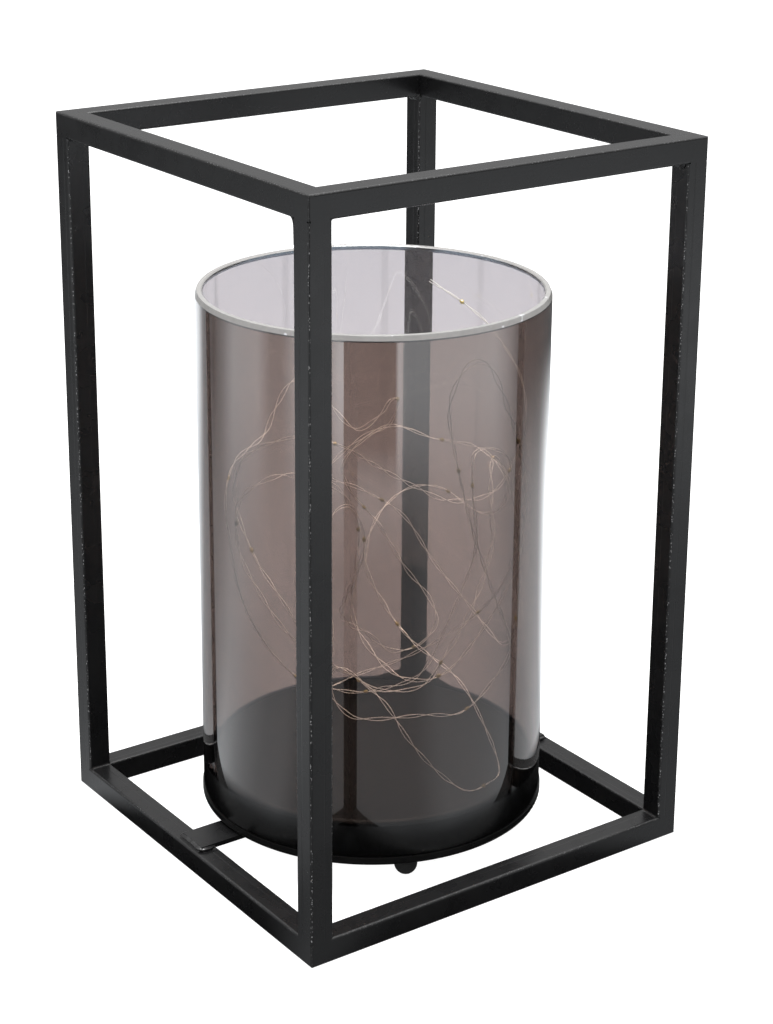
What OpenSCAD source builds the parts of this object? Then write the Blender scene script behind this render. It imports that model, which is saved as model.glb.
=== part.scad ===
// Lantern table lamp: a welded square-tube frame around a smoked glass
// cylinder, which stands on a round battery base with a string of micro lights.
// Millimetres, +Z up. The origin is the middle of the frame's underside.

/* [Frame] */
// Width of the frame, left to right
frame_w = 185; // [175:1:240]
// Depth of the frame, front to back
frame_d = 185; // [175:1:240]
// Height of the frame
frame_h = 300; // [275:5:400]
// Side of the square tube
tube_side = 10; // [8:0.5:12]
// Wall of the square tube
tube_wall = 1; // [0.8:0.1:1.5]
// Rounding of the tube's long edges
tube_round = 1; // [0.5:0.1:1.5]
// Leg of the fillet welds in the window corners
weld_leg = 1.2; // [0.8:0.1:3]

/* [Cross strip] */
// Width of the flat bar that carries the base
strip_w = 15; // [12:1:16]
// Thickness of the flat bar
strip_t = 2; // [1.5:0.5:3]
// Distance from the bar's ends to the frame's sides
strip_inset = 3; // [2:0.5:4]

/* [Glass] */
// Outer diameter of the glass cylinder
glass_d = 144; // [142:1:150]
// Wall of the glass
glass_wall = 3; // [2:0.5:3.5]
// Height of the glass
glass_h = 218; // [205:1:240]
// Rounding of the glass's cut edges
glass_edge = 0.6; // [0.3:0.1:0.8]
// How far the chamfer round the glass's rim reaches down
rim_drop = 2; // [1:0.1:3]
// How far the chamfer round the glass's rim reaches in
rim_in = 0.7; // [0.3:0.1:1]

/* [Base] */
// Height from the base's underside to the inner floor
base_h = 18; // [18:0.5:22]
// How far the flange stands out past the glass
flange_lip = 0.5; // [0:0.1:1.5]
// Thickness of the flange under the glass
flange_t = 3.5; // [3:0.1:4]
// Rounding of the flange's lower edge
flange_round = 1.5; // [0.5:0.1:2]
// Thickness of the base's bottom plate
pan_t = 2.4; // [2.2:0.1:2.8]
// Height of the ring that centres the glass
spigot_h = 2.5; // [2:0.1:3]
// Radial play between the ring and the glass
glass_play = 0.4; // [0.2:0.1:0.8]
// Wall of the cover and of the centring ring
shell_wall = 2.2; // [1.8:0.1:2.6]
// Thickness of the inner floor
roof_t = 1.6; // [1.2:0.1:1.8]
// Rounding of the inner floor's edge
cover_round = 2.5; // [1:0.1:3]
// Step from the centring ring in to the cover's wall
cover_step = 0.6; // [0.2:0.1:0.8]

/* [Feet] */
// Diameter of a rubber foot
foot_d = 9.6; // [8:0.1:10]
// Gap between a foot and the table
foot_gap = 1; // [0.5:0.1:2]
// Distance of a foot's axis from the base's wall
foot_inset = 6.6; // [6:0.1:8]
// Angle of the first foot
foot_turn = -111.5; // [-113:0.5:-110]

/* [Battery bay] */
// Diameter of a cell
cell_d = 14.2; // [13.5:0.1:14.4]
// Length of a cell with its cap
cell_l = 50.3; // [49.5:0.1:50.5]
// Play beside a cell
cell_play = 0.7; // [0.4:0.1:0.8]
// Length of a contact spring as fitted
spring_l = 5.2; // [4:0.1:6]
// Thickness of a contact plate
plate_t = 0.4; // [0.3:0.1:0.5]
// Wall of the bay
bay_wall = 1.2; // [1:0.1:1.6]
// Distance from the cross strip to the bay
bay_clear = 4; // [3:0.5:4.5]
// How far the bay's middle lies left of the base's middle
bay_shift = 14; // [13:0.5:15]
// Thickness of the battery door
door_t = 1.6; // [1.4:0.1:1.8]
// Gap around the battery door
door_gap = 0.3; // [0.2:0.1:0.4]
// Diameter of the door's hinge pins
pivot_d = 1.2; // [1:0.05:1.2]

/* [Switch and board] */
// Length of the circuit board
board_l = 36; // [34:1:40]
// Width of the circuit board
board_w = 20; // [18:1:22]
// Height of the board above the bottom plate
board_rise = 4.6; // [4.4:0.1:5]
// Distance of the board's middle in front of the base's middle
board_y = 34; // [32:0.5:36]
// Travel of the slide switch
switch_travel = 4; // [3:0.5:4]
// Width of the switch's knob
knob_w = 2.4; // [2:0.1:2.6]
// How far the knob stands out below the base
knob_out = 1.5; // [1:0.1:2]

/* [Screws] */
// Diameter of the screw through the cross strip
strip_screw_d = 4; // [3:0.5:5]
// Diameter of the housing screws
case_screw_d = 2.9; // [2.5:0.1:3.2]
// Diameter of the board screws
board_screw_d = 2; // [1.6:0.1:2.4]

/* [Lights] */
// Diameter of the twisted light wire
wire_d = 0.6; // [0.4:0.1:0.8]
// Diameter of a light bead
bead_d = 2.2; // [1.8:0.1:2.6]

/* [Hidden] */
$fn = 96;

fit = 0.05;  // radial clearance of a pin or screw in its hole
tiny = 0.1;  // small gap between loose pieces
over = 1;    // how far a cut runs past a face

// Heights
base_z = tube_side + strip_t;
glass_z = base_z + flange_t;
ring_z = glass_z + spigot_h;
floor_z = base_z + base_h;
roof_z = floor_z - roof_t;
pan_z = base_z + pan_t;
board_z = pan_z + board_rise;

// Radii
flange_r = glass_d / 2 + flange_lip;
ring_r = glass_d / 2 - glass_wall - glass_play;
cover_r = ring_r - cover_step;
inner_r = ring_r - shell_wall;
foot_r = inner_r - foot_inset;

// Battery bay
bay_l = cell_l + spring_l + 2 * plate_t + 4 * tiny;
bay_w = 2 * cell_d + 3 * cell_play;
bay_x = -bay_shift - bay_l / 2;
bay_y = strip_w / 2 + bay_clear;
cell_z = base_z + tiny + door_t + tiny + cell_d / 2 + tiny;
cell_rim = 0.6;
cell_cap = 1;
cell_cap_d = 5.5;
pivot_y = bay_y + door_gap + door_t / 2;
pivot_z = base_z + tiny + door_t / 2;
pivot_l = 1.5;
tongue_w = 9;
tongue_l = 6;
tongue_slit = 0.8;
tongue_lip = 0.9;
scoop_r = 7;
scoop_w = 12;
scoop_depth = pan_t / 2;

// Contacts and leads
spring_wire = 0.7;
spring_turns = 3.5;
spring_wide = 4.4;
spring_narrow = 2.6;
plate_side = 10;
tab_w = 3;
tab_l = 1.4;
tab_t = 0.8;
lead_d = 1.2;
lead_end = 1.5;

// Screws, bosses and feet
boss_wall = 2;
strip_play = 0.5;
case_head_d = 2 * case_screw_d;
case_head_t = 1.8;
case_head_z = base_z + 2.5;
case_boss_z = base_z + 5;
case_screw_l = 8;
case_turn = foot_turn + 45;
strip_head_d = 1.9 * strip_screw_d;
strip_head_t = 2.4;
strip_screw_l = 10;
board_head_d = 1.9 * board_screw_d;
board_head_t = 1.3;
board_screw_l = 6;
foot_stem_d = 4;
foot_collar_d = 5.4;
foot_collar_t = 1.2;

// Board and switch
board_t = 1.6;
board_top = board_z + board_t;
board_edge = 4;
post_x = board_l / 2 - board_edge;
knob_y = 1.8;
knob_slot = knob_w + switch_travel + 2 * tiny;
slider_l = knob_w + 2;
slider_y = knob_y + 0.8;
slider_t = 1.2;
slider_z = pan_z + 0.6;
switch_wall = 1.3;

// Lights
gland_x = -32;
gland_y = -6;
gland_r = 2;
gland_collar = 1.2;
gland_low = 1.5;
ring_steps = 3;   // rings of the wire from one point of its route to the next
wire_sides = 6;
first_bead = 38;
bead_step = 14;

// ---- frame ----

// Outline of the tube, with round edges
module tube_outline() {
    for (turn = [0, 90])
        rotate(turn) square([tube_side, tube_side - 2 * tube_round], center = true);
    for (x = [-1, 1], y = [-1, 1])
        translate([x, y] * (tube_side / 2 - tube_round)) circle(tube_round, $fn = 32);
}

// Tube of a given length along +X, with its middle at the origin
module tube(length) {
    rotate([90, 0, 90])
        linear_extrude(length, center = true)
            difference() {
                tube_outline();
                square(tube_side - 2 * tube_wall, center = true);
            }
}

// Plan of the frame's outside, with its corners round like the tube
module frame_plan() {
    for (sides = [[frame_w - 2 * tube_round, frame_d], [frame_w, frame_d - 2 * tube_round]])
        square(sides, center = true);
    for (x = [-1, 1], y = [-1, 1])
        translate([x * (frame_w / 2 - tube_round), y * (frame_d / 2 - tube_round)])
            circle(tube_round, $fn = 32);
}

// Front rail of a square, for a frame of the given width and depth, mitred at both ends
module mitred_rail(w, d) {
    intersection() {
        translate([0, -(d - tube_side) / 2, tube_side / 2]) tube(w);
        linear_extrude(tube_side)
            polygon([
                [-w / 2, -d / 2], [w / 2, -d / 2],
                [w / 2 - tube_side, tube_side - d / 2], [tube_side - w / 2, tube_side - d / 2]
            ]);
    }
}

// One of the four rails of a square: turn 0 is the front, 90 the right
module rail(turn, z) {
    side = turn % 180 == 0;
    color("#303134")
    translate([0, 0, z])
        intersection() {
            rotate(turn) mitred_rail(side ? frame_w : frame_d, side ? frame_d : frame_w);
            linear_extrude(tube_side) frame_plan();
        }
}

module post(x, y) {
    length = frame_h - 2 * tube_side;
    color("#2b2c2f")
    translate([x * (frame_w - tube_side) / 2, y * (frame_d - tube_side) / 2, frame_h / 2])
        rotate([0, 90, 0]) tube(length);
}

module top_rail_front() rail(0, frame_h - tube_side);
module top_rail_right() rail(90, frame_h - tube_side);
module top_rail_back() rail(180, frame_h - tube_side);
module top_rail_left() rail(270, frame_h - tube_side);
module bottom_rail_front() rail(0, 0);
module bottom_rail_right() rail(90, 0);
module bottom_rail_back() rail(180, 0);
module bottom_rail_left() rail(270, 0);
module post_front_left() post(-1, -1);
module post_front_right() post(1, -1);
module post_back_left() post(-1, 1);
module post_back_right() post(1, 1);

// Hollow fillet in the corner of the +X and +Z axes, running along Y
module fillet(leg, length) {
    rotate([90, 0, 0])
        linear_extrude(length, center = true)
            difference() {
                square(leg);
                translate([leg, leg]) circle(leg, $fn = 48);
            }
}

// The four fillets in the window of one side, whose outer face is at -Y
module window_welds(w, d) {
    for (x = [0, 1], z = [0, 1])
        mirror([x, 0, 0])
            translate([tube_side - w / 2, (tube_side - d) / 2, z == 0 ? tube_side : frame_h - tube_side])
                mirror([0, 0, z])
                    fillet(weld_leg, tube_side - 2 * tube_round);
}

// Seams over the ends of the posts, flush with the outer face at -Y
module seam_welds(w, d) {
    for (x = [-1, 1], z = [0, 1])
        translate([x * (w - tube_side) / 2, -d / 2, z == 0 ? tube_side : frame_h - tube_side])
            mirror([0, 0, 1 - z])
                rotate(90) fillet(tube_round, tube_side - 2 * tube_round);
}

// The fillets beside the ends of the cross strip, and the wedges that run out from them
module strip_welds() {
    beside = tube_side - strip_inset - tube_round;
    for (x = [0, 1])
        mirror([x, 0, 0]) {
            for (y = [0, 1])
                mirror([0, y, 0])
                    translate([frame_w / 2 - strip_inset - beside / 2, strip_w / 2, tube_side])
                        rotate(90) mirror([0, 1, 0]) fillet(strip_t, beside);
            translate([frame_w / 2 - strip_inset, 0, tube_side])
                rotate([90, 0, 0])
                    linear_extrude(strip_w, center = true)
                        polygon([[0, 0], [strip_inset - tube_round, 0], [0, strip_t]]);
        }
}

module corner_welds() {
    color("#26272a") {
        for (turn = [0, 180]) rotate(turn) window_welds(frame_w, frame_d);
        for (turn = [90, 270]) rotate(turn) window_welds(frame_d, frame_w);
        for (turn = [0, 180]) rotate(turn) seam_welds(frame_w, frame_d);
        for (turn = [90, 270]) rotate(turn) seam_welds(frame_d, frame_w);
        strip_welds();
    }
}

// ---- cross strip ----

module cross_strip() {
    color("#2b2c2f")
    difference() {
        translate([strip_inset - frame_w / 2, -strip_w / 2, tube_side])
            cube([frame_w - 2 * strip_inset, strip_w, strip_t]);
        boss(strip_screw_d + strip_play, tube_side - over, base_z + over);
    }
}

module strip_screw() {
    color("silver")
    difference() {
        union() {
            boss(strip_head_d, tube_side - strip_head_t, tube_side);
            boss(strip_screw_d, tube_side, tube_side + strip_screw_l);
        }
        translate([0, 0, tube_side - strip_head_t]) cross_slot(strip_head_d, strip_head_t);
    }
}

// Cross-shaped driver slot, cut upwards from z = 0
module cross_slot(head_d, head_t) {
    for (turn = [0, 90])
        rotate(turn)
            translate([-0.3 * head_d, -0.07 * head_d, -over])
                cube([0.6 * head_d, 0.14 * head_d, 0.5 * head_t + over]);
}

// ---- base ----

// Places its children round the base, n times from a first angle
module around(n, first, r) {
    for (i = [0 : n - 1]) rotate(first + i * 360 / n) translate([r, 0, 0]) children();
}

// Section of the bottom plate, its flange and the ring that centres the glass
module pan_section() {
    translate([0, base_z]) square([flange_r - flange_round, pan_t]);
    translate([inner_r, base_z]) square([flange_r - flange_round - inner_r, flange_t]);
    translate([inner_r, base_z + flange_round])
        square([flange_r - inner_r, flange_t - flange_round]);
    translate([flange_r - flange_round, base_z + flange_round]) circle(flange_round, $fn = 48);
    translate([inner_r, base_z]) square([ring_r - inner_r, ring_z - base_z]);
}

module bay_block(margin, z, top) {
    translate([bay_x - margin, bay_y - margin, z])
        cube([bay_l + 2 * margin, bay_w + 2 * margin, top - z]);
}

// Y of a cell's axis: 0 is the cell beside the hinge
function cell_y(i) = bay_y + cell_play + cell_d / 2 + i * (cell_d + cell_play);

module base_pan() {
    color("#161719")
    difference() {
        union() {
            rotate_extrude() pan_section();
            bay_block(bay_wall, base_z, roof_z - tiny);
            boss(strip_screw_d + 3 * boss_wall, base_z, base_z + strip_screw_l);
            around(4, case_turn, foot_r) boss(case_head_d + 2 * boss_wall, base_z, case_boss_z);
            at_board_posts() boss(board_screw_d + 2 * boss_wall, base_z, board_z);
        }
        bay_block(0, base_z - over, floor_z);
        // hinge bores
        translate([bay_x - pivot_l - tiny, pivot_y, pivot_z])
            rotate([0, 90, 0])
                cylinder(d = pivot_d + 2 * fit, h = bay_l + 2 * (pivot_l + tiny), $fn = 32);
        nail_scoop();
        // slots for the tabs of the two end contacts
        for (i = [0, 1])
            translate([bay_x + bay_l - over, cell_y(i) - tab_w / 2 - tiny, cell_z])
                cube([bay_wall + 2 * over, tab_w + 2 * tiny, floor_z]);
        // screws from below, with sunk heads
        boss(strip_screw_d + 2 * fit, base_z - over, tube_side + strip_screw_l + tiny);
        around(4, case_turn, foot_r) {
            boss(case_screw_d + 2 * fit, base_z - over, case_boss_z + over);
            boss(case_head_d + 4 * fit, base_z - over, case_head_z);
        }
        around(4, foot_turn, foot_r) boss(foot_stem_d + 2 * fit, base_z - over, pan_z + over);
        at_board_posts() boss(board_screw_d + 2 * fit, pan_z, board_z + over);
        knob_opening(base_z - over, pan_z + over);
    }
}

// Round bar from one height to another
module boss(d, low, high) {
    translate([0, 0, low]) cylinder(d = d, h = high - low, $fn = 64);
}

module at_board_posts() {
    for (x = [-1, 1]) translate([x * post_x, -board_y, 0]) children();
}

// Slot in which the switch's knob travels
module knob_opening(low, high) {
    translate([-knob_slot / 2, -board_y - knob_y / 2 - 2 * tiny, low])
        cube([knob_slot, knob_y + 4 * tiny, high - low]);
}

// Shallow round hollow under the bottom plate, for a nail at the door's free edge
module nail_scoop() {
    translate([bay_x + (bay_l - scoop_w) / 2, bay_y + bay_w + bay_wall, base_z + scoop_depth - scoop_r])
        rotate([0, 90, 0]) cylinder(r = scoop_r, h = scoop_w);
}

// Section of the cover: a flat inner floor with a round edge and a short wall
module cover_section() {
    h = floor_z - ring_z;
    translate([0, ring_z])
        difference() {
            union() {
                square([cover_r - cover_round, h]);
                square([cover_r, h - cover_round]);
                translate([cover_r - cover_round, h - cover_round]) circle(cover_round, $fn = 64);
            }
            square([inner_r, h - roof_t]);
        }
}

module base_cover() {
    color("#1c1d20")
    difference() {
        union() {
            rotate_extrude() cover_section();
            around(4, case_turn, foot_r)
                boss(case_screw_d + 2 * boss_wall, case_boss_z, roof_z + tiny);
        }
        around(4, case_turn, foot_r)
            boss(case_screw_d + 2 * fit, case_boss_z - over, case_boss_z + case_screw_l);
        translate([gland_x, gland_y, 0]) boss(2 * (gland_r + fit), roof_z - over, floor_z + over);
    }
}

module case_screws() {
    color("silver")
    around(4, case_turn, foot_r)
        difference() {
            union() {
                boss(case_head_d, case_head_z - case_head_t, case_head_z);
                boss(case_screw_d, case_head_z, case_boss_z + case_screw_l - tiny);
            }
            translate([0, 0, case_head_z - case_head_t]) cross_slot(case_head_d, case_head_t);
        }
}

// Rubber foot: a dome with a stem and a collar that holds it in the bottom plate
module base_feet() {
    color("#0f0f10")
    around(4, foot_turn, foot_r) {
        translate([0, 0, foot_gap + foot_d / 2]) sphere(d = foot_d, $fn = 64);
        boss(foot_d, foot_gap + foot_d / 2, base_z);
        boss(foot_stem_d, base_z - tiny, pan_z);
        boss(foot_collar_d, pan_z, pan_z + foot_collar_t);
    }
}

// ---- battery door and battery ----

module battery_door() {
    plate_x = bay_x + door_gap;
    plate_l = bay_l - 2 * door_gap;
    plate_y = bay_y + bay_w - door_gap - pivot_y;
    edge_y = pivot_y + plate_y;
    color("#17181a")
    difference() {
        union() {
            translate([plate_x, pivot_y, base_z + tiny]) cube([plate_l, plate_y, door_t]);
            translate([plate_x, pivot_y, pivot_z]) rotate([0, 90, 0]) cylinder(d = door_t, h = plate_l);
            translate([bay_x - pivot_l, pivot_y, pivot_z])
                rotate([0, 90, 0]) cylinder(d = pivot_d, h = bay_l + 2 * pivot_l, $fn = 32);
            // lip on the springy tongue that holds the door shut
            translate([plate_x + (plate_l - tongue_w) / 2, edge_y - tongue_lip, base_z + tiny + door_t])
                cube([tongue_w, tongue_lip, tongue_lip]);
        }
        for (x = [-1, 1])
            translate([
                plate_x + (plate_l + x * (tongue_w + tongue_slit) - tongue_slit) / 2,
                edge_y - tongue_l, base_z - over
            ])
                cube([tongue_slit, tongue_l + over, door_t + 3 * over]);
    }
}

// Cell along X with its cap at +X
module cell() {
    r = cell_d / 2;
    shoulder = cell_l - cell_cap;
    rotate([0, 90, 0])
        rotate_extrude($fn = 64)
            polygon([
                [0, 0], [r - cell_rim, 0], [r, cell_rim],
                [r, shoulder - cell_rim], [r - cell_rim, shoulder],
                [cell_cap_d / 2, shoulder], [cell_cap_d / 2, cell_l], [0, cell_l]
            ]);
}

// The two cells lie head to tail, each with its spring at its flat end
module battery_cell_1() {
    color("#8a5a34")
    translate([bay_x + plate_t + spring_l + 2 * tiny, cell_y(0), cell_z]) cell();
}

module battery_cell_2() {
    color("#8a5a34")
    translate([bay_x + bay_l - plate_t - spring_l - 2 * tiny, cell_y(1), cell_z])
        mirror([1, 0, 0]) cell();
}

// One plate joins the cells at the left, and two with tabs end the circuit at the right
module contact_plates() {
    link_w = cell_y(1) - cell_y(0) + plate_side;
    color("#b9b9b4") {
        translate([bay_x + tiny, cell_y(0) - plate_side / 2, cell_z - plate_side / 2])
            cube([plate_t, link_w, plate_side]);
        for (i = [0, 1])
            translate([bay_x + bay_l - tiny - plate_t, cell_y(i), cell_z]) {
                translate([0, -plate_side / 2, -plate_side / 2]) cube([plate_t, plate_side, plate_side]);
                translate([0, -tab_w / 2, 0]) cube([plate_t + tiny + bay_wall + tab_l, tab_w, tab_t]);
            }
    }
}

// Conical spring from z = 0 to its length
module contact_spring() {
    steps = 12 * spring_turns;
    low = spring_wire / 2;
    rise = spring_l - 2 * tiny - spring_wire;
    coil = [
        for (i = [0 : steps])
            let (
                s = i / steps,
                turn = 360 * spring_turns * s,
                r = spring_wide + (spring_narrow - spring_wide) * s
            )
                [r * cos(turn), r * sin(turn), low + rise * s]
    ];
    sweep_tube(coil, spring_wire / 2, wire_sides);
}

module contact_springs() {
    color("silver") {
        translate([bay_x + plate_t + 2 * tiny, cell_y(0), cell_z]) rotate([0, 90, 0]) contact_spring();
        translate([bay_x + bay_l - plate_t - 2 * tiny, cell_y(1), cell_z])
            rotate([0, -90, 0]) contact_spring();
    }
}

// ---- switch and board ----

module circuit_board() {
    color("#1f5a36")
    difference() {
        translate([-board_l / 2, -board_y - board_w / 2, board_z]) cube([board_l, board_w, board_t]);
        at_board_posts() boss(board_screw_d + 4 * fit, board_z - over, board_top + over);
    }
}

// Timer chip, capacitor and resistor on the board
module board_parts() {
    color("#202022") {
        translate([-8, -board_y - 3, board_top]) cube([5, 6, 1.5]);
        translate([4, -board_y - 5, board_top]) cylinder(d = 5, h = 5, $fn = 48);
        translate([-1, -board_y + 4, board_top]) cube([6, 2, 1.2]);
    }
}

module board_screws() {
    color("silver")
    at_board_posts()
        difference() {
            union() {
                boss(board_head_d, board_top, board_top + board_head_t);
                boss(board_screw_d, board_top - board_screw_l, board_top);
            }
            translate([0, 0, board_top + board_head_t])
                mirror([0, 0, 1]) cross_slot(board_head_d, board_head_t);
        }
}

module switch_body() {
    room_l = slider_l + switch_travel + 2 * tiny;
    room_y = slider_y + 2 * tiny;
    color("#c8c8c4")
    difference() {
        translate([-room_l / 2 - switch_wall, -board_y - room_y / 2 - switch_wall, pan_z])
            cube([room_l + 2 * switch_wall, room_y + 2 * switch_wall, board_rise]);
        knob_opening(pan_z - over, slider_z + over);
        translate([-room_l / 2, -board_y - room_y / 2, slider_z])
            cube([room_l, room_y, slider_t + 2 * tiny]);
    }
}

module switch_knob() {
    color("#26272a") {
        translate([-knob_w / 2, -board_y - knob_y / 2, base_z - knob_out])
            cube([knob_w, knob_y, slider_z + 2 * tiny - base_z + knob_out]);
        translate([-slider_l / 2, -board_y - slider_y / 2, slider_z + tiny])
            cube([slider_l, slider_y, slider_t]);
    }
}

// Insulated leads from the tabs of the two end contacts to the board's edge
module battery_leads() {
    tab_x = bay_x + bay_l + bay_wall + tab_l / 2;
    high = cell_z + tab_t + lead_d / 2;
    low = board_top + lead_d / 2;
    edge_x = board_l / 2 - lead_end;
    edge_y = board_w / 2 - board_y;
    color("firebrick")
    for (i = [0, 1])
        sweep_tube(smooth([
            [tab_x, cell_y(i), high],
            [tab_x + 2 + i, cell_y(i) - 6, high + 0.6],
            [edge_x + 4 + 2 * i, 0, high + 0.6],
            [edge_x + 3 + 2 * i, edge_y + 4 - 2 * i, low + 1],
            [edge_x, edge_y - 2 - 3 * i, low]
        ], 4), lead_d / 2, 8);
}

module wire_gland() {
    color("#101011")
    translate([gland_x, gland_y, 0])
        difference() {
            union() {
                boss(2 * gland_r, roof_z - gland_low, floor_z);
                boss(2 * (gland_r + gland_collar), floor_z, floor_z + gland_collar);
            }
            boss(wire_d + 4 * fit, roof_z - gland_low - over, floor_z + gland_collar + over);
        }
}

// ---- light wire ----

// Cross product's unit vector, and a vector across t to start from
function unit(v) = v / norm(v);
function across(v, t) = unit(v - t * (v * t));

// Smooth curve through a list of points, in n steps from each to the next
function smooth(p, n) = [
    for (i = [0 : len(p) - 2], j = [0 : n - 1])
        let (
            a = p[max(i - 1, 0)], b = p[i], c = p[i + 1], d = p[min(i + 2, len(p) - 1)],
            s = j / n
        )
            0.5 * (2 * b + (c - a) * s + (2 * a - 5 * b + 4 * c - d) * s * s
                + (3 * b - a - 3 * c + d) * s * s * s),
    p[len(p) - 1]
];

function direction(p, i) = unit(p[min(i + 1, len(p) - 1)] - p[max(i - 1, 0)]);

// Side vectors carried along the curve without twist
function side_vectors(p) = [
    for (
        i = 0, u = across([0.3, 0.5, 0.8], direction(p, 0));
        i < len(p);
        i = i + 1, u = i < len(p) ? across(u, direction(p, i)) : u
    ) u
];

// Round tube along a curve, with flat ends
module sweep_tube(p, r, sides) {
    u = side_vectors(p);
    n = len(p);
    rings = [
        for (i = [0 : n - 1])
            let (w = cross(direction(p, i), u[i]))
                for (k = [0 : sides - 1])
                    p[i] + r * (u[i] * cos(360 * k / sides) + w * sin(360 * k / sides))
    ];
    walls = [
        for (i = [0 : n - 2], k = [0 : sides - 1])
            let (a = i * sides + k, b = i * sides + (k + 1) % sides)
                for (f = [[a, a + sides, b], [b, a + sides, b + sides]]) f
    ];
    ends = [
        [for (k = [0 : sides - 1]) k],
        [for (k = [sides - 1 : -1 : 0]) (n - 1) * sides + k]
    ];
    polyhedron(rings, concat(walls, ends), convexity = 10);
}

// Route inside the glass: angle, distance in from the glass, height above the inner floor
wire_route = [
    [-143, 20, 57], [-123, 14, 52], [-105, 12, 53], [-95, 12, 64], [-81, 12, 82], [-67, 13, 103],
    [-64, 15, 119], [-56, 18, 134], [-42, 18, 133], [-36, 12, 119], [-37, 9, 100], [-32, 11, 80],
    [-5, 12, 52], [19, 13, 31], [39, 14, 17], [61, 16, 9], [84, 20, 6], [98, 16, 16], [112, 12, 34],
    [134, 12, 63], [149, 10, 92], [149, 8, 114], [134, 10, 125], [111, 12, 129], [103, 12, 139],
    [95, 14, 150], [86, 20, 152], [78, 26, 139], [65, 30, 130], [50, 31, 137], [44, 30, 143],
    [40, 26, 142], [46, 23, 130], [59, 22, 123], [71, 22, 112], [66, 22, 98], [52, 20, 83],
    [38, 18, 62], [26, 17, 50], [19, 20, 40], [26, 26, 30], [41, 34, 29], [58, 40, 39], [100, 50, 55],
    [-139, 46, 91], [-132, 40, 108], [-140, 34, 122], [-149, 28, 118], [-151, 24, 97], [-143, 18, 72],
    [-143, 14, 52], [-135, 12, 42], [-125, 10, 41], [-104, 12, 40], [-86, 12, 37], [-74, 8, 47],
    [-67, 4, 62], [-79, 4, 91], [-89, 4, 120], [-96, 4, 150], [-99, 4, 172], [-92, 4, 187],
    [-82, 4, 184], [-70, 4, 160], [-60, 4, 138], [-58, 4, 114], [-60, 6, 92], [-64, 16, 68],
    [-78, 28, 47], [-94, 42, 42], [-120, 56, 48], [170, 60, 62], [160, 62, 84], [-175, 61, 104],
    [-170, 48, 123], [-168, 26, 134], [-166, 7, 138], [-178, 4, 126], [-179, 4, 106], [-169, 4, 92],
    [-157, 6, 76], [-148, 18, 61], [-136, 30, 50], [-119, 23, 42], [-109, 15, 28], [-98, 12, 14],
    [-86, 9, 3], [-75, 8, 2], [-66, 8, 5], [-59, 18, 20], [-50, 32, 36], [-10, 50, 45], [38, 50, 57],
    [62, 46, 75], [52, 38, 92], [38, 18, 99], [26, 5, 97], [8, 4, 90], [-6, 4, 98], [-8, 4, 112],
    [8, 5, 120], [30, 4, 119], [48, 4, 123], [64, 5, 114], [74, 7, 102], [60, 9, 95], [42, 8, 83],
    [28, 7, 62], [10, 6, 45], [-10, 6, 36], [-28, 7, 52], [-38, 8, 84], [-48, 9, 118], [-64, 9, 142],
    [-84, 9, 149], [-85, 9, 132], [-82, 10, 108], [-91, 14, 80], [-100, 22, 54], [-118, 32, 44],
    [-142, 36, 40], [-158, 22, 50], [-154, 11, 74], [-162, 8, 90], [-174, 8, 102], [172, 8, 120],
    [174, 8, 137], [-172, 8, 149], [-152, 10, 158], [-142, 26, 150], [-126, 44, 137], [-60, 50, 121],
    [-36, 36, 112], [-22, 16, 112], [-22, 5, 130], [-27, 4, 146], [-18, 4, 161], [0, 4, 172],
    [16, 4, 181], [33, 4, 190]
];

function route_point(q) =
    let (r = glass_d / 2 - glass_wall - q[1])
        [r * cos(q[0]), r * sin(q[0]), floor_z + q[2]];

// From the board's edge to the gland and straight up through it
lead_x = -12;
lead_in = 3;
wire_start = [
    [lead_x, board_w / 2 - board_y - lead_in, board_top + wire_d / 2 + fit],
    [lead_x - 2, gland_y - 14, board_top + 0.6],
    [lead_x - 7, gland_y - 8, board_top + 1.2],
    [gland_x + 7, gland_y - 4, board_top + 1.6],
    [gland_x + 2.4, gland_y - 1.6, board_top + 2.2],
    [gland_x + 0.4, gland_y - 0.3, board_top + 3.6],
    [gland_x, gland_y, roof_z - 2],
    [gland_x, gland_y, floor_z + 2],
    [gland_x, gland_y, floor_z + 7],
    [gland_x - 0.5, gland_y - 1.5, floor_z + 14]
];

// Then round the inside of the glass
wire_path = smooth(concat(wire_start, [for (q = wire_route) route_point(q)]), ring_steps);

module light_wire() {
    color("#c9a27a") sweep_tube(wire_path, wire_d / 2, wire_sides);
}

// A bead of clear resin round the middle of every few steps of the wire
module light_beads() {
    color("#e8dca0")
    for (i = [first_bead : bead_step : len(wire_path) - 2]) {
        step = wire_path[i + 1] - wire_path[i];
        translate((wire_path[i] + wire_path[i + 1]) / 2)
            rotate([0, acos(step[2] / norm(step)), atan2(step[1], step[0])])
                difference() {
                    sphere(d = bead_d, $fn = 32);
                    cylinder(d = wire_d + 2 * fit, h = 2 * bead_d, center = true, $fn = 16);
                }
    }
}

// ---- glass ----

// Section of the glass: round cut edges, and a steep chamfer round the outside of the rim
module glass_section() {
    difference() {
        union() {
            translate([0, glass_edge]) square([glass_wall, glass_h - 2 * glass_edge]);
            translate([glass_edge, 0]) square([glass_wall - 2 * glass_edge, glass_h]);
            for (x = [glass_edge, glass_wall - glass_edge], z = [glass_edge, glass_h - glass_edge])
                translate([x, z]) circle(glass_edge, $fn = 32);
        }
        polygon([
            [glass_wall - rim_in, glass_h], [glass_wall, glass_h - rim_drop],
            [glass_wall + over, glass_h - rim_drop], [glass_wall + over, glass_h + over],
            [glass_wall - rim_in, glass_h + over]
        ]);
    }
}

module glass_cylinder() {
    color([0.35, 0.3, 0.29, 0.45])
    rotate_extrude()
        translate([glass_d / 2 - glass_wall, glass_z]) glass_section();
}

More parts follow.
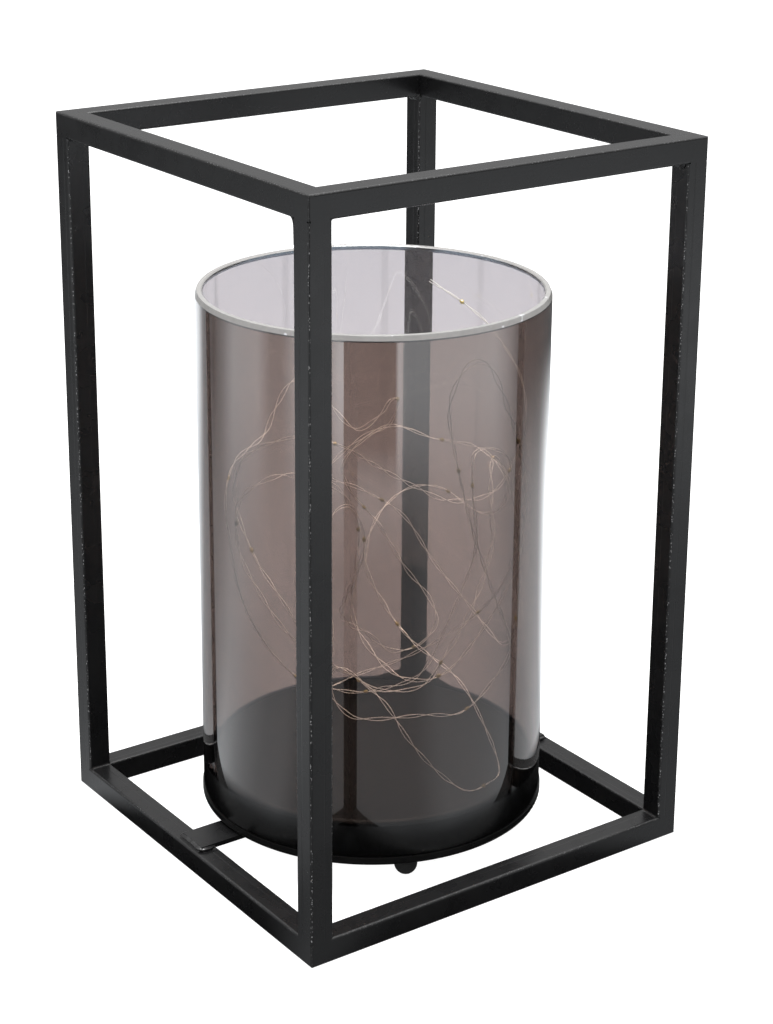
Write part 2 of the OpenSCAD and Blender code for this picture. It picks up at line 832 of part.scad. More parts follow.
top_rail_front();
top_rail_back();
top_rail_left();
top_rail_right();
bottom_rail_front();
bottom_rail_back();
bottom_rail_left();
bottom_rail_right();
post_front_left();
post_front_right();
post_back_left();
post_back_right();
cross_strip();
corner_welds();
strip_screw();
base_pan();
base_cover();
case_screws();
base_feet();
battery_door();
battery_cell_1();
battery_cell_2();
contact_plates();
contact_springs();
circuit_board();
board_parts();
board_screws();
switch_body();
switch_knob();
battery_leads();
wire_gland();
light_wire();
light_beads();
glass_cylinder();
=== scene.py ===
import bpy
import math
import random
from mathutils import Matrix, Vector


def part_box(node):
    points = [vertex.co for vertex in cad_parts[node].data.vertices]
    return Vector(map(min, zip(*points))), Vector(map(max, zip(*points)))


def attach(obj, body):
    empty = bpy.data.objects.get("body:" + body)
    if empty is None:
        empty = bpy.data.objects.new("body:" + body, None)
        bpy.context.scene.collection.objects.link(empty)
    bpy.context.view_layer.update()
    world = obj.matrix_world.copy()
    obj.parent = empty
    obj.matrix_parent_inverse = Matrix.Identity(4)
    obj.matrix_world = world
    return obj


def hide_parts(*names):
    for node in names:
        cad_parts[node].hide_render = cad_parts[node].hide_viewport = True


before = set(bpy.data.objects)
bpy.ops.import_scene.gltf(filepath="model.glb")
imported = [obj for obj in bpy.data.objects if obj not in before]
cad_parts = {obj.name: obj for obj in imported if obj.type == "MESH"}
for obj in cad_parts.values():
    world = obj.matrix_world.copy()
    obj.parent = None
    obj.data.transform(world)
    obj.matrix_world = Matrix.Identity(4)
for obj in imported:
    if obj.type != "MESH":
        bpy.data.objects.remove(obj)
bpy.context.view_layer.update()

mm = 0.001      # plain lengths of the pieces are in mm, those of the studio in metres

view = {
    "place": (-0.5045, -0.7158, 0.4687),
    "azimuth": -35.53,      # degrees, as the next two
    "elevation": 17.42,
    "roll": 0.37,
    "focal": 2249.3,        # pixels
    "rows": 1024,           # height of the image
    "axisRow": 380,         # row of the lens axis
    "sensor": 36,
    "nearest": 0.05,
}


def makeCamera():
    data = bpy.data.cameras.new("camera")
    camera = bpy.data.objects.new("camera", data)
    bpy.context.collection.objects.link(camera)
    data.sensor_width = view["sensor"]
    data.lens = view["focal"] / view["rows"] * data.sensor_width
    data.shift_y = (view["axisRow"] - view["rows"] / 2) / view["rows"]
    data.clip_start = view["nearest"]
    turn = Matrix.Rotation(math.radians(view["azimuth"]), 4, 'Z')
    tilt = Matrix.Rotation(math.radians(90 - view["elevation"]), 4, 'X')
    roll = Matrix.Rotation(math.radians(view["roll"]), 4, 'Z')
    camera.matrix_world = Matrix.Translation(view["place"]) @ turn @ tilt @ roll
    bpy.context.scene.camera = camera


makeCamera()
print("camera placed")


def addNode(tree, kind, values=None, **settings):
    made = tree.nodes.new("ShaderNode" + kind)
    for name, value in settings.items():
        setattr(made, name, value)
    for name, value in (values or {}).items():
        made.inputs[name].default_value = value
    return made


def newMaterial(name):
    material = bpy.data.materials.new(name)
    material.use_nodes = True
    tree = material.node_tree
    shader = tree.nodes["Principled BSDF"]
    return material, tree, shader


def places(tree, scale=(1, 1, 1), turn=(0, 0, 0)):
    coordinates = addNode(tree, "TexCoord")
    mapping = addNode(tree, "Mapping")
    mapping.inputs["Rotation"].default_value = turn
    mapping.inputs["Scale"].default_value = scale
    tree.links.new(coordinates.outputs["Object"], mapping.inputs["Vector"])
    return mapping.outputs["Vector"]


def noise(tree, vector, scale, detail=3, roughness=0.55):
    made = addNode(tree, "TexNoise", {"Scale": scale, "Detail": detail, "Roughness": roughness})
    tree.links.new(vector, made.inputs["Vector"])
    return made.outputs["Fac"]


def spread(tree, value, low, high, fromLow=0.3, fromHigh=0.7, kind='LINEAR'):
    # noise lies mostly between 0.3 and 0.7
    ends = {"From Min": fromLow, "From Max": fromHigh, "To Min": low, "To Max": high}
    made = addNode(tree, "MapRange", ends, interpolation_type=kind)
    tree.links.new(value, made.inputs["Value"])
    return made.outputs["Result"]


def maths(tree, operation, a, b=None):
    made = addNode(tree, "Math", operation=operation)
    for socket, value in zip(made.inputs, (a, b)):
        if value is None:
            continue
        if isinstance(value, (int, float)):
            socket.default_value = value
        else:
            tree.links.new(value, socket)
    return made.outputs["Value"]


def live(sockets, name):
    # a Mix node has a socket of each type under one name, and only one of them is in use
    return next(socket for socket in sockets if socket.name == name and socket.enabled)


def blendColours(tree, factor, first, second):
    made = addNode(tree, "Mix", data_type='RGBA')
    tree.links.new(factor, live(made.inputs, "Factor"))
    for name, value in (("A", first), ("B", second)):
        socket = live(made.inputs, name)
        if isinstance(value, tuple):
            socket.default_value = (*value, 1)
        else:
            tree.links.new(value, socket)
    return live(made.outputs, "Result")


def bump(tree, shader, layers):
    # layers: (height, distance in metres, strength)
    normal = None
    for height, distance, strength in layers:
        made = addNode(tree, "Bump", {"Distance": distance, "Strength": strength})
        tree.links.new(height, made.inputs["Height"])
        if normal is not None:
            tree.links.new(normal, made.inputs["Normal"])
        normal = made.outputs["Normal"]
    tree.links.new(normal, shader.inputs["Normal"])


def fillRamp(ramp, stops):
    elements = ramp.color_ramp.elements
    while len(elements) > 1:
        elements.remove(elements[-1])
    for index, (position, level) in enumerate(stops):
        element = elements[0] if index == 0 else elements.new(position)
        element.position = position
        element.color = (level, level, level, 1)


def select(*pieces):
    bpy.ops.object.select_all(action='DESELECT')
    for piece in pieces:
        piece.select_set(True)
    bpy.context.view_layer.objects.active = pieces[0]


def settle(piece, name, body, slot, material, *nodes):
    # last steps for a new piece: its place goes into its mesh, then its body and finish
    select(piece)
    bpy.ops.object.transform_apply(location=True, rotation=True, scale=True)
    piece.name = name
    piece.data.name = name
    piece.data.materials.clear()
    piece.data.materials.append(material)
    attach(piece, body)
    if nodes:
        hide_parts(*nodes)
    print("made", name, len(piece.data.polygons), "faces")


studio = {
    "floorSize": 12,
    "floorColour": (0.25, 0.25, 0.25),
    "floorShade": 0.97,                 # the darker parts of its soft grain
    "floorGrain": 60,
    "floorSeen": (1, 1, 1),
    "floorGlow": (1.68, 2.4, 3.25),     # what shines through the glass
    "glowEdge": 0.8,                    # how bright it still is away from the lamp
    "glowFall": (0.25, 0.6),            # distances between which it falls to that
    # height of the direction, from the horizon to overhead, and its brightness
    "sky": [(0.0, 0.5), (0.22, 0.44), (0.38, 0.46), (0.5, 0.62), (0.75, 2.2), (1.0, 3.0)],
    "softbox": 0.7,                     # its width
    "softboxHeight": 1.5,
    "softboxWatts": 60,
    "cardSize": 3,
    "cardSides": 96,
    "cardDrop": 1 * mm,
    "cardTint": (0.94, 0.97, 1),
    "nearTo": 0.4,                      # the near ring of light blends into the far one
    "farFrom": 0.78,                    # between these distances from the lamp
    # angle from the camera's side, positive to its right, and brightness
    "nearRing": [(-180, 0.45), (-160, 0.9), (-152, 0.9), (-146, 0.7), (-136, 0.35), (-121, 0.32),
                 (-112, 0.36), (-104, 0.6), (-96, 0.9), (-88, 0.95), (-78, 0.8), (-62, 0.6), (-48, 0.6),
                 (-38, 0.36), (24, 0.36), (38, 0.6), (82, 0.6), (90, 0.5), (116, 0.62), (130, 0.58),
                 (145, 1.5), (160, 1.9), (175, 0.6)],
    "farRing": [(-180, 0.3), (-158, 1.3), (-146, 1.2), (-136, 0.4), (-118, 0.1), (-106, 0.6), (-96, 1.4),
                (-75, 1.5), (-65, 0.5), (-57, 0.5), (-45, 2.0), (-24, 2.0), (-20, 2.8), (-17, 2.8),
                (13, 2.4), (17, 2.4), (20, 1.7), (80, 1.7), (94, 0.8), (104, 0.15), (112, 0.1),
                (175, 0.1)],
    "dimFrom": (1.35, 1.65),            # the card is dim from here outwards
    "dimTo": 0.3,
    # the dark gap in front, where the camera stands: degrees, and the distances where it begins
    "gapMiddle": -1,
    "gapAngle": 14.5,
    "gapSoft": 2,
    "gapFrom": (0.5, 0.62),
    "shadeTo": (0.112, 0.128),          # where the lamp's own shade ends
}


def makeWorld():
    world = bpy.data.worlds.new("studio")
    bpy.context.scene.world = world
    world.use_nodes = True
    tree = world.node_tree
    tree.nodes.clear()
    coordinates = addNode(tree, "TexCoord")
    split = addNode(tree, "SeparateXYZ")
    ramp = addNode(tree, "ValToRGB")
    background = addNode(tree, "Background")
    output = addNode(tree, "OutputWorld")
    top = max(level for _, level in studio["sky"])
    fillRamp(ramp, [(height, level / top) for height, level in studio["sky"]])
    background.inputs["Strength"].default_value = top
    tree.links.new(coordinates.outputs["Generated"], split.inputs["Vector"])
    tree.links.new(split.outputs["Z"], ramp.inputs["Fac"])
    tree.links.new(ramp.outputs["Color"], background.inputs["Color"])
    tree.links.new(background.outputs["Background"], output.inputs["Surface"])


def makeFloor():
    bpy.ops.mesh.primitive_plane_add(size=studio["floorSize"])
    floor = bpy.context.object
    floor.name = "floor"
    material, tree, shader = newMaterial("pale floor")
    grain = noise(tree, places(tree), studio["floorGrain"])
    darker = tuple(studio["floorShade"] * part for part in studio["floorColour"])
    colour = blendColours(tree, grain, studio["floorColour"], darker)
    tree.links.new(colour, shader.inputs["Base Color"])
    path = addNode(tree, "LightPath")
    through = path.outputs["Is Transmission Ray"]
    tree.links.new(blendColours(tree, through, studio["floorSeen"], studio["floorGlow"]),
                   shader.inputs["Emission Color"])
    length = addNode(tree, "VectorMath", operation='LENGTH')
    tree.links.new(places(tree), length.inputs["Vector"])
    fall = spread(tree, length.outputs["Value"], 1, studio["glowEdge"], *studio["glowFall"])
    plain = maths(tree, 'SUBTRACT', 1, through)
    tree.links.new(maths(tree, 'MAXIMUM', plain, fall), shader.inputs["Emission Strength"])
    shader.inputs["Roughness"].default_value = 1
    shader.inputs["Specular IOR Level"].default_value = 0
    # seen from below, the floor isn't there
    geometry = addNode(tree, "NewGeometry")
    sheer = addNode(tree, "BsdfTransparent")
    sides = addNode(tree, "MixShader")
    tree.links.new(geometry.outputs["Backfacing"], sides.inputs["Fac"])
    tree.links.new(shader.outputs["BSDF"], sides.inputs[1])
    tree.links.new(sheer.outputs["BSDF"], sides.inputs[2])
    tree.links.new(sides.outputs["Shader"], tree.nodes["Material Output"].inputs["Surface"])
    floor.data.materials.append(material)
    floor.visible_glossy = False


def ringOfLight(tree, turn, stops):
    # brightness by the angle round the lamp
    top = max(level for _, level in stops)
    ramp = addNode(tree, "ValToRGB")
    fillRamp(ramp, [(0.5 + angle / 360, level / top) for angle, level in stops])
    tree.links.new(turn, ramp.inputs["Fac"])
    return maths(tree, 'MULTIPLY', ramp.outputs["Color"], top)


def makeCard():
    # what polished surfaces mirror: a soft light card lying just under the floor
    bpy.ops.mesh.primitive_circle_add(vertices=studio["cardSides"], radius=studio["cardSize"],
                                      fill_type='NGON', location=(0, 0, -studio["cardDrop"]))
    card = bpy.context.object
    card.name = "lightCard"
    material = bpy.data.materials.new("light card")
    material.use_nodes = True
    tree = material.node_tree
    tree.nodes.clear()
    side = math.radians(view["azimuth"] - 90)   # the camera's side is at 0 once turned
    vector = places(tree, turn=(0, 0, -side))
    radial = addNode(tree, "TexGradient", gradient_type='RADIAL')
    tree.links.new(vector, radial.inputs["Vector"])
    turn = radial.outputs["Fac"]
    length = addNode(tree, "VectorMath", operation='LENGTH')
    tree.links.new(vector, length.inputs["Vector"])
    distance = length.outputs["Value"]
    near = ringOfLight(tree, turn, studio["nearRing"])
    far = ringOfLight(tree, turn, studio["farRing"])
    share = spread(tree, distance, 0, 1, studio["nearTo"], studio["farFrom"], 'SMOOTHSTEP')
    level = maths(tree, 'ADD', near, maths(tree, 'MULTIPLY', share, maths(tree, 'SUBTRACT', far, near)))
    # less the gap in front, the lamp's own shade and the dim outer part
    gapMiddle = 0.5 + studio["gapMiddle"] / 360
    offCentre = maths(tree, 'ABSOLUTE', maths(tree, 'SUBTRACT', turn, gapMiddle))
    gapEnd = studio["gapAngle"] / 360
    inGap = spread(tree, offCentre, 1, 0, gapEnd, gapEnd + studio["gapSoft"] / 360)
    farEnough = spread(tree, distance, 0, 1, *studio["gapFrom"])
    lit = maths(tree, 'SUBTRACT', 1, maths(tree, 'MULTIPLY', inGap, farEnough))
    lit = maths(tree, 'MULTIPLY', lit, spread(tree, distance, 0, 1, *studio["shadeTo"]))
    lit = maths(tree, 'MULTIPLY', lit, spread(tree, distance, 1, studio["dimTo"], *studio["dimFrom"]))
    glow = addNode(tree, "Emission", {"Color": (*studio["cardTint"], 1)})
    output = addNode(tree, "OutputMaterial")
    tree.links.new(maths(tree, 'MULTIPLY', level, lit), glow.inputs["Strength"])
    tree.links.new(glow.outputs["Emission"], output.inputs["Surface"])
    card.data.materials.append(material)
    for kind in ("camera", "diffuse", "transmission", "volume_scatter", "shadow"):
        setattr(card, "visible_" + kind, False)


def makeSoftbox():
    data = bpy.data.lights.new("softbox", 'AREA')
    data.shape = 'DISK'
    data.size = studio["softbox"]
    data.energy = studio["softboxWatts"]
    lamp = bpy.data.objects.new("softbox", data)
    lamp.location = (0, 0, studio["softboxHeight"])
    bpy.context.collection.objects.link(lamp)


makeWorld()
makeFloor()
makeCard()
makeSoftbox()
bpy.context.scene.view_settings.view_transform = 'Standard'
print("floor, card and sky made")


paint = {
    "colour": (0.003, 0.003, 0.0032),
    "waved": (0.0055, 0.0055, 0.0058),
    "edgeHighlight": (0.007, 0.007, 0.0073),     # painted highlight along the rounded edges
    "glintSpecks": (0.2, 0.2, 0.205),          # painted glints: bright specks standing for paint nibs that catch the light
    "markShare": {"x": 0.2, "y": 0.2, "z": 1, "weld": 0.15},     # how much of the painted glints shows, by the tube's axis
    "roughness": (0.24, 0.32),
    "ior": 1.4,
    "grainScale": 900,
    "grainDepth": 0.012 * mm,
    "grainStrength": 0.7,
    "wavesScale": 90,
    "wavesDepth": 0.05 * mm,
    "wavesStrength": 0.5,
    "drawStretch": 0.02,                # marks of the drawing of the tube, long and thin
    "drawScale": 1500,
    "drawDepth": 0.006 * mm,
    "drawStrength": 0.6,
    "edges": (0.8, 0.97),               # the normal's largest part, on an edge and on a face
    "speckScale": 1700,
    "speckStretch": 0.5,
    "speckSize": (0.2, 0.34),           # share of the distance between two
    "patchScale": 70,
    "patches": (0.25, 0.4),             # levels between which the specks come in
    "seamAside": 1.2 * mm,              # the tube's own seam, from the middle of its faces
    "seamWidth": 0.3 * mm,
    "seamDepth": 0.05 * mm,
    "seamStrength": 0.8,
}


def edgeMask(tree):
    # 1 on the rounded edges, where the normal leans away from every axis
    geometry = addNode(tree, "NewGeometry")
    absolute = addNode(tree, "VectorMath", operation='ABSOLUTE')
    tree.links.new(geometry.outputs["Normal"], absolute.inputs["Vector"])
    split = addNode(tree, "SeparateXYZ")
    tree.links.new(absolute.outputs["Vector"], split.inputs["Vector"])
    largest = maths(tree, 'MAXIMUM', split.outputs["Y"], split.outputs["Z"])
    largest = maths(tree, 'MAXIMUM', split.outputs["X"], largest)
    return spread(tree, largest, 1, 0, *paint["edges"])


def alongTube(along, stretch):
    # a scale that draws a pattern out along the tube
    return [stretch if axis == along else 1 for axis in range(3)]


def seamLine(tree, vector, along):
    # 1 on the line of the tube's seam, beside the middle of its faces
    low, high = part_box("post_front_left")
    split = addNode(tree, "SeparateXYZ")
    tree.links.new(vector, split.inputs["Vector"])
    lines = []
    for axis in (0, 1):
        if axis == along:
            continue
        seam = abs(low[axis] + high[axis]) / 2 - paint["seamAside"]
        beside = maths(tree, 'SUBTRACT', maths(tree, 'ABSOLUTE', split.outputs["XY"[axis]]), seam)
        beside = maths(tree, 'ABSOLUTE', beside)
        lines.append(spread(tree, beside, 1, 0, 0, paint["seamWidth"], 'SMOOTHSTEP'))
    return lines[0] if len(lines) == 1 else maths(tree, 'MAXIMUM', *lines)


def powderCoat(along):
    # along: the axis of the tube, 0 to 2, or None for the welds
    kind = "weld" if along is None else "xyz"[along]
    material, tree, shader = newMaterial("powder coat " + kind)
    vector = places(tree)
    edges = edgeMask(tree)
    grain = noise(tree, vector, paint["grainScale"], detail=2)
    waves = noise(tree, vector, paint["wavesScale"], detail=2)
    lines = noise(tree, places(tree, alongTube(along, paint["drawStretch"])), paint["drawScale"], detail=2)
    drawnOut = places(tree, alongTube(along, paint["speckStretch"]))
    specks = addNode(tree, "TexVoronoi", {"Scale": paint["speckScale"]})
    tree.links.new(drawnOut, specks.inputs["Vector"])
    dots = spread(tree, specks.outputs["Distance"], 1, 0, *paint["speckSize"])
    patches = spread(tree, noise(tree, drawnOut, paint["patchScale"], detail=3), 0, paint["markShare"][kind],
                     *paint["patches"])
    # specks on the edges lit up as painted glints of paint nibs catching the light
    glintSpecks = maths(tree, 'MULTIPLY', maths(tree, 'MULTIPLY', dots, edges), patches)
    base = blendColours(tree, waves, paint["colour"], paint["waved"])
    # the rounded edges take a lighter colour: painted highlight
    base = blendColours(tree, edges, base, paint["edgeHighlight"])
    tree.links.new(blendColours(tree, glintSpecks, base, paint["glintSpecks"]), shader.inputs["Base Color"])
    tree.links.new(spread(tree, waves, *paint["roughness"]), shader.inputs["Roughness"])
    shader.inputs["IOR"].default_value = paint["ior"]
    layers = [
        (waves, paint["wavesDepth"], paint["wavesStrength"]),
        (lines, paint["drawDepth"], paint["drawStrength"]),
        (grain, paint["grainDepth"], paint["grainStrength"]),
    ]
    if along is not None:
        groove = maths(tree, 'SUBTRACT', 1, seamLine(tree, vector, along))
        layers.append((groove, paint["seamDepth"], paint["seamStrength"]))
    bump(tree, shader, layers)
    return material


softPatches = {
    "patchDetail": 4,
    "patchDepth": 3,        # times the depth of the grain
    "patchStrength": 0.3,
    "grainScale": 9,        # times the scale of the patches
    "grainDetail": 2,
    "grainStrength": 1,
}


def plainFinish(name, first, second, roughness, scale, depth, sockets=None):
    # two close colours in soft patches, a roughness that wanders and a fine grain
    material, tree, shader = newMaterial(name)
    vector = places(tree)
    patches = noise(tree, vector, scale, softPatches["patchDetail"])
    grain = noise(tree, vector, scale * softPatches["grainScale"], softPatches["grainDetail"])
    tree.links.new(blendColours(tree, patches, first, second), shader.inputs["Base Color"])
    tree.links.new(spread(tree, patches, *roughness), shader.inputs["Roughness"])
    bump(tree, shader, [
        (patches, depth * softPatches["patchDepth"], softPatches["patchStrength"]),
        (grain, depth, softPatches["grainStrength"]),
    ])
    for socket, value in (sockets or {}).items():
        shader.inputs[socket].default_value = value
    return material


wire = {
    "strand": 0.3,          # thickness of one of the two strands
    "apart": 1.9,           # widest distance between them
    "pitch": 26,            # length of one turn of the pair
    "steps": 9,             # rings from one point of the route to the next
    "beadSteps": 3,         # and places where a bead can sit
    "firstBead": 38,        # these two count such places
    "beadStep": 14,
    "seed": 4,
    "slackEvery": 20,       # rings from one change of the gap between the strands to the next
    "slackLeast": 0.25,
    "closedNear": 1,        # the strands lie together this near to a bead
    "openOver": 7,          # and open over this length
    "closedBelow": 8,       # and lie together up to here above the inner floor
    "firstSide": (0.3, 0.5, 0.8),   # the way the first strand lies from the wire's middle
    "lacquer": (0.93, 0.9, 0.83),
    "lacquerPale": (0.98, 0.97, 0.94),
    "lacquerScale": 400,
    # painted shade for the wire's end in the glass's mouth
    "mouthShadeColour": (0.27, 0.25, 0.22),
    "mouthShade": (182 * mm, 200 * mm),     # heights between which the painted shade comes in
    "roughness": (0.28, 0.4),
    "metallic": 0.15,
    "grainScale": 3000,
    "grainDepth": 0.004 * mm,
    "grainStrength": 0.8,
    "glassInside": 69,
    "floor": 30,
    # from the board to the bush and up through it
    "start": [(-12, -27, 20.95), (-14, -20, 21.2), (-19, -14, 21.8), (-25, -10, 22.2), (-29.6, -7.6, 22.8),
              (-31.6, -6.3, 24.2), (-32, -6, 26.4), (-32, -6, 32), (-32, -6, 37), (-32.5, -7.5, 44)],
    # angle, distance in from the glass, height above the inner floor
    "route": [
        (-143, 20, 57), (-123, 14, 52), (-105, 12, 53), (-95, 12, 64), (-81, 12, 82), (-67, 13, 103),
        (-64, 15, 119), (-56, 18, 134), (-42, 18, 133), (-36, 12, 119), (-37, 9, 100), (-32, 11, 80),
        (-5, 12, 52), (19, 13, 31), (39, 14, 17), (61, 16, 9), (84, 20, 6), (98, 16, 16), (112, 12, 34),
        (134, 12, 63), (149, 10, 92), (149, 8, 114), (134, 10, 125), (111, 12, 129), (103, 12, 139),
        (95, 14, 150), (86, 20, 152), (78, 26, 139), (65, 30, 130), (50, 31, 137), (44, 30, 143),
        (40, 26, 142), (46, 23, 130), (59, 22, 123), (71, 22, 112), (66, 22, 98), (52, 20, 83),
        (38, 18, 62), (26, 17, 50), (19, 20, 40), (26, 26, 30), (41, 34, 29), (58, 40, 39),
        (100, 50, 55), (-139, 46, 91), (-132, 40, 108), (-140, 34, 122), (-149, 28, 118),
        (-151, 24, 97), (-143, 18, 72), (-143, 14, 52), (-135, 12, 42), (-125, 10, 41), (-104, 12, 40),
        (-86, 12, 37), (-74, 8, 47), (-67, 4, 62), (-79, 4, 91), (-89, 4, 120), (-96, 4, 150),
        (-99, 4, 172), (-92, 4, 187), (-82, 4, 184), (-70, 4, 160), (-60, 4, 138), (-58, 4, 114),
        (-60, 6, 92), (-64, 16, 68), (-78, 28, 47), (-94, 42, 42), (-120, 56, 48), (170, 60, 62),
        (160, 62, 84), (-175, 61, 104), (-170, 48, 123), (-168, 26, 134), (-166, 7, 138),
        (-178, 4, 126), (-179, 4, 106), (-169, 4, 92), (-157, 6, 76), (-148, 18, 61), (-136, 30, 50),
        (-119, 23, 42), (-109, 15, 28), (-98, 12, 14), (-86, 9, 3), (-75, 8, 2), (-66, 8, 5),
        (-59, 18, 20), (-50, 32, 36), (-10, 50, 45), (38, 50, 57), (62, 46, 75), (52, 38, 92),
        (38, 18, 99), (26, 5, 97), (8, 4, 90), (-6, 4, 98), (-8, 4, 112), (8, 5, 120), (30, 4, 119),
        (48, 4, 123), (64, 5, 114), (74, 7, 102), (60, 9, 95), (42, 8, 83), (28, 7, 62), (10, 6, 45),
        (-10, 6, 36), (-28, 7, 52), (-38, 8, 84), (-48, 9, 118), (-64, 9, 142), (-84, 9, 149),
        (-85, 9, 132), (-82, 10, 108), (-91, 14, 80), (-100, 22, 54), (-118, 32, 44), (-142, 36, 40),
        (-158, 22, 50), (-154, 11, 74), (-162, 8, 90), (-174, 8, 102), (172, 8, 120), (174, 8, 137),
        (-172, 8, 149), (-152, 10, 158), (-142, 26, 150), (-126, 44, 137), (-60, 50, 121),
        (-36, 36, 112), (-22, 16, 112), (-22, 5, 130), (-27, 4, 146), (-18, 4, 161), (0, 4, 172),
        (16, 4, 181), (33, 4, 190),
    ],
}


def routePoint(angle, inset, height):
    r = wire["glassInside"] - inset
    a = math.radians(angle)
    return Vector((r * math.cos(a), r * math.sin(a), wire["floor"] + height))


def smoothLine(points, steps):
    line = []
    last = len(points) - 1
    for i in range(last):
        a, b, c, d = points[max(i - 1, 0)], points[i], points[i + 1], points[min(i + 2, last)]
        for j in range(steps):
            s = j / steps
            line.append(0.5 * (2 * b + (c - a) * s + (2 * a - 5 * b + 4 * c - d) * s ** 2
                               + (3 * b - a - 3 * c + d) * s ** 3))
    line.append(points[last])
    return line


route = [Vector(p) for p in wire["start"]] + [routePoint(*p) for p in wire["route"]]
beadLine = smoothLine(route, wire["beadSteps"])
beadSpots = []
for i in range(wire["firstBead"], len(beadLine) - 1, wire["beadStep"]):
    beadSpots.append(((beadLine[i] + beadLine[i + 1]) / 2, (beadLine[i + 1] - beadLine[i]).normalized()))


def strandPoints(side):
    # one strand of the pair: it winds round the route and closes up at each bead
    line = smoothLine(route, wire["steps"])
    low = wire["strand"] / 2
    high = wire["apart"] / 2
    u = Vector(wire["firstSide"])
    run = 0
    rng = random.Random(wire["seed"])
    loose = [rng.uniform(wire["slackLeast"], 1) for _ in range(len(line) // wire["slackEvery"] + 2)]
    points = []
    for i, p in enumerate(line):
        ahead = (line[min(i + 1, len(line) - 1)] - line[max(i - 1, 0)]).normalized()
        u = (u - ahead * u.dot(ahead)).normalized()
        w = ahead.cross(u)
        run += (p - line[i - 1]).length if i else 0
        nearest = min((p - spot).length for spot, _ in beadSpots)
        opened = min(1, max(0, nearest - wire["closedNear"]) / wire["openOver"])
        if p.z < wire["floor"] + wire["closedBelow"]:
            opened = 0
        k, f = divmod(i / wire["slackEvery"], 1)
        slack = loose[int(k)] * (1 - f) + loose[int(k) + 1] * f
        away = low + (high - low) * opened * slack
        turn = 2 * math.pi * run / wire["pitch"] + side * math.pi
        points.append((p + (u * math.cos(turn) + w * math.sin(turn)) * away) * mm)
    return points


def makeWire():
    data = bpy.data.curves.new("wire_pair", 'CURVE')
    data.dimensions = '3D'
    data.bevel_depth = wire["strand"] / 2 * mm
    data.bevel_resolution = 1
    data.use_fill_caps = True
    for side in (0, 1):
        points = strandPoints(side)
        spline = data.splines.new('POLY')
        spline.points.add(len(points) - 1)
        for point, place in zip(spline.points, points):
            point.co = (*place, 1)
    piece = bpy.data.objects.new("wire_pair", data)
    bpy.context.collection.objects.link(piece)
    select(piece)
    bpy.ops.object.convert(target='MESH')
    bpy.ops.object.shade_smooth()
    return bpy.context.object


def lacqueredCopper():
    # pale lacquer over copper, with painted shade darkening the end in the glass's mouth, where the softbox
    # lights it straight
    material, tree, shader = newMaterial("lacquered copper")
    vector = places(tree)
    patches = noise(tree, vector, wire["lacquerScale"], detail=3)
    fresh = blendColours(tree, patches, wire["lacquer"], wire["lacquerPale"])
    split = addNode(tree, "SeparateXYZ")
    tree.links.new(vector, split.inputs["Vector"])
    # painted shade by height, towards the wire's end
    mouthShade = spread(tree, split.outputs["Z"], 0, 1, *wire["mouthShade"])
    tree.links.new(blendColours(tree, mouthShade, fresh, wire["mouthShadeColour"]), shader.inputs["Base Color"])
    tree.links.new(spread(tree, patches, *wire["roughness"]), shader.inputs["Roughness"])
    shader.inputs["Metallic"].default_value = wire["metallic"]
    grain = noise(tree, vector, wire["grainScale"], detail=1)
    bump(tree, shader, [(grain, wire["grainDepth"], wire["grainStrength"])])
    return material


settle(makeWire(), "wire_pair", "lantern", "light_copper", lacqueredCopper(), "light_wire")


bead = {
    "radius": 1.05,
    "shape": (0.95, 0.8, 1.3),      # the last one along the wire
    "segments": 20,
    "rings": 14,
    "endsFrom": 0.95,               # share of the radius, past which the ends are drawn out
    "ends": (0.45, 0.45, 1.05),
    "chip": (0.9, 0.55, 0.5),
    "chipEdge": 0.08,
    "sizes": (0.9, 1.04),
    "seed": 7,
    # two colours, roughness, scale of the patches and depth of the grain
    "resin": ((0.62, 0.5, 0.22), (0.7, 0.6, 0.34), (0.08, 0.16), 900, 0.01 * mm),
    "resinSockets": {"Transmission Weight": 0.65, "IOR": 1.5},
    "phosphor": ((0.75, 0.6, 0.08), (0.8, 0.68, 0.15), (0.5, 0.6), 1500, 0.01 * mm),
}


def resinDrop():
    bpy.ops.object.select_all(action='DESELECT')
    bpy.ops.mesh.primitive_uv_sphere_add(segments=bead["segments"], ring_count=bead["rings"],
                                         radius=bead["radius"] * mm)
    drop = bpy.context.object
    drop.scale = bead["shape"]
    bpy.ops.object.transform_apply(scale=True)
    # both ends are drawn out along the wire
    for end in (-1, 1):
        bpy.ops.object.mode_set(mode='EDIT')
        bpy.ops.mesh.select_all(action='DESELECT')
        bpy.ops.object.mode_set(mode='OBJECT')
        for vertex in drop.data.vertices:
            vertex.select = vertex.co.z * end > bead["radius"] * mm * bead["endsFrom"]
        bpy.ops.object.mode_set(mode='EDIT')
        bpy.ops.transform.resize(value=bead["ends"])
        bpy.ops.object.mode_set(mode='OBJECT')
    bpy.ops.object.shade_smooth()
    return drop


def lightChip():
    bpy.ops.object.select_all(action='DESELECT')
    bpy.ops.mesh.primitive_cube_add(size=mm)
    chip = bpy.context.object
    chip.scale = bead["chip"]
    bpy.ops.object.transform_apply(scale=True)
    bpy.ops.object.mode_set(mode='EDIT')
    bpy.ops.mesh.select_all(action='SELECT')
    bpy.ops.mesh.bevel(offset=bead["chipEdge"] * mm, segments=2)
    bpy.ops.object.mode_set(mode='OBJECT')
    return chip


